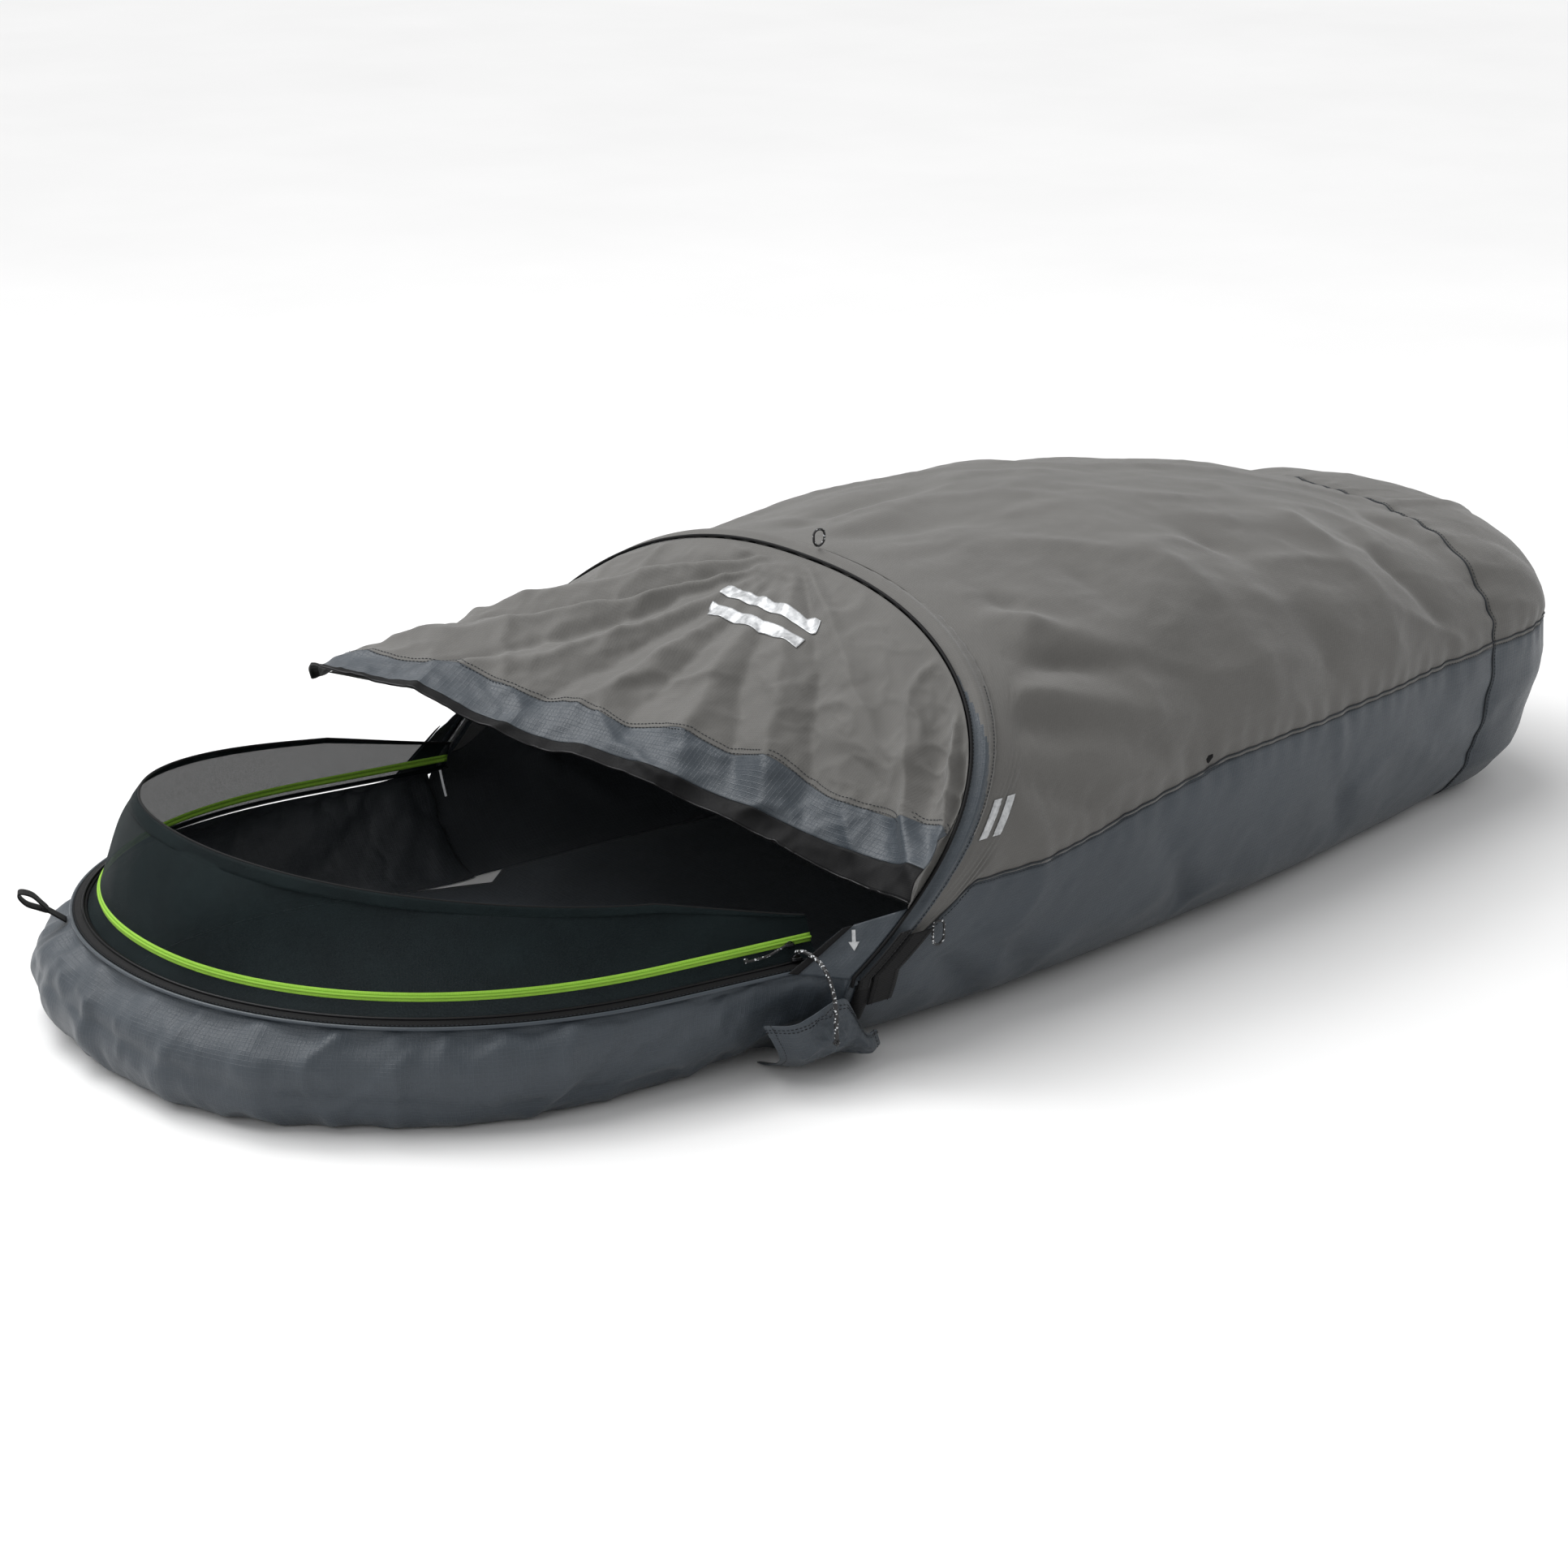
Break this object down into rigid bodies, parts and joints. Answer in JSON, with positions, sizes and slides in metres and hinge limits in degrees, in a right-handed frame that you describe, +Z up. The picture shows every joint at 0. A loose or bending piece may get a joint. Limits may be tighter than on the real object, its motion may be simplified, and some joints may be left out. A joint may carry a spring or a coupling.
{
  "type": "bivy sack",
  "caption": "Hooded one-person bivy sack with a pole arch, hood flap, insect net, waterproof tub floor and U-shaped door zip, shown filled out.",
  "frame": {"origin": "on the ground, under the middle of the floor panel", "axes": "+X towards the foot end, -Y the side shown nearest, +Z up"},
  "size_m": [2.0531, 0.9209, 0.471],
  "materials": {
    "slate_nylon": "coated ripstop nylon, slate blue-grey, soft sheen",
    "grey_shell": "three-layer waterproof shell cloth, warm grey, matt with a fine grid",
    "black_net": "fine black no-see-um netting, sheer",
    "seam_tape": "heat-sealed seam tape, black, smooth",
    "black_tape": "woven black tape",
    "black_webbing": "black webbing",
    "lime_tape": "lime zip tape and coil",
    "zip_teeth": "black nylon coil",
    "slider_metal": "black painted zip slider",
    "flecked_cord": "black cord with silver reflective flecks",
    "reflective_print": "silver-grey reflective print",
    "pole_alloy": "anodised aluminium pole"
  },
  "bodies": {
    "sack": {"floor_panel": "slate_nylon", "head_wall": "slate_nylon", "side_wall_near": "slate_nylon", "side_wall_far": "slate_nylon", "top_panel": "grey_shell", "foot_panel_upper": "grey_shell", "foot_panel_lower": "slate_nylon", "side_gusset_near": "slate_nylon", "side_gusset_far": "slate_nylon", "seam_tape_near": "seam_tape", "seam_tape_far": "seam_tape", "pole_sleeve": "slate_nylon", "pole_section_near": "pole_alloy", "pole_section_far": "pole_alloy", "pole_ferrule": "pole_alloy", "pole_pocket_near": "black_webbing", "pole_pocket_far": "black_webbing", "door_zip_tape": "black_tape", "door_zip_coil": "zip_teeth", "zip_garage_near": "slate_nylon", "zip_garage_far": "slate_nylon", "net_lower_strip": "black_net", "net_zip_tape_lower": "lime_tape", "body_reflective_bars": "reflective_print", "pole_arrow_print": "reflective_print", "hook_strip_near": "black_tape", "hook_strip_far": "black_tape"},
    "hood": {"hood_flap": "grey_shell", "hood_hem_band": "slate_nylon", "hood_zip_tape": "black_tape", "hood_zip_coil": "zip_teeth", "hood_reflective_bars": "reflective_print"},
    "net": {"net_zip_tape_upper": "lime_tape", "bug_net_panel": "black_net", "net_hem": "black_net"},
    "door_slider": {"door_zip_slider": "slider_metal"},
    "door_pull": {"door_zip_pull": "flecked_cord"},
    "net_slider": {"net_zip_slider": "slider_metal"},
    "net_pull": {"net_zip_pull": "flecked_cord"},
    "tab_near": {"closure_tab_near": "black_webbing"},
    "tab_far": {"closure_tab_far": "black_webbing"},
    "guy_top": {"guy_loop_top": "flecked_cord"},
    "guy_near": {"guy_loop_near": "flecked_cord"},
    "guy_far": {"guy_loop_far": "flecked_cord"},
    "stake_loop": {"stake_loop_head": "black_webbing"}
  },
  "joints": [
    {"name": "hood_lift", "type": "hinge", "parent": "sack", "child": "hood", "pos_m": [-0.08, 0, 0.437], "axis": [0, 1, 0], "range_deg": [0, 50]},
    {"name": "net_lift", "type": "hinge", "parent": "sack", "child": "net", "pos_m": [-0.356, 0, 0.146], "axis": [0, 1, 0], "range_deg": [0, 12]},
    {"name": "door_zip_slide", "type": "slide", "parent": "sack", "child": "door_slider", "axis": [-0.9929, 0.1191, 0], "range_m": [0, 0.135]},
    {"name": "door_pull_swing", "type": "hinge", "parent": "door_slider", "child": "door_pull", "pos_m": [-0.386, -0.379, 0.136], "axis": [-1, 0, 0], "range_deg": [0, 80]},
    {"name": "net_zip_slide", "type": "slide", "parent": "sack", "child": "net_slider", "axis": [-0.9929, 0.1191, 0], "range_m": [0, 0.13]},
    {"name": "net_pull_swing", "type": "hinge", "parent": "net_slider", "child": "net_pull", "pos_m": [-0.39, -0.368, 0.144], "axis": [0, 1, 0], "range_deg": [0, 90]},
    {"name": "tab_near_peel", "type": "hinge", "parent": "sack", "child": "tab_near", "pos_m": [-0.29, -0.419, 0.067], "axis": [1, 0, 0], "range_deg": [0, 100]},
    {"name": "tab_far_peel", "type": "hinge", "parent": "sack", "child": "tab_far", "pos_m": [-0.29, 0.419, 0.067], "axis": [-1, 0, 0], "range_deg": [0, 100]},
    {"name": "guy_top_swing", "type": "hinge", "parent": "sack", "child": "guy_top", "pos_m": [-0.06, 0, 0.4495], "axis": [1, 0, 0], "range_deg": [-75, 75]},
    {"name": "guy_near_swing", "type": "hinge", "parent": "sack", "child": "guy_near", "pos_m": [-0.2414, -0.443, 0.133], "axis": [1, 0, 0], "range_deg": [0, 150]},
    {"name": "guy_far_swing", "type": "hinge", "parent": "sack", "child": "guy_far", "pos_m": [-0.2414, 0.443, 0.133], "axis": [-1, 0, 0], "range_deg": [0, 150]},
    {"name": "stake_loop_swing", "type": "hinge", "parent": "sack", "child": "stake_loop", "pos_m": [-0.962, 0.252, 0.128], "axis": [0.4691, 0.8832, 0], "range_deg": [-30, 30]}
  ]
}
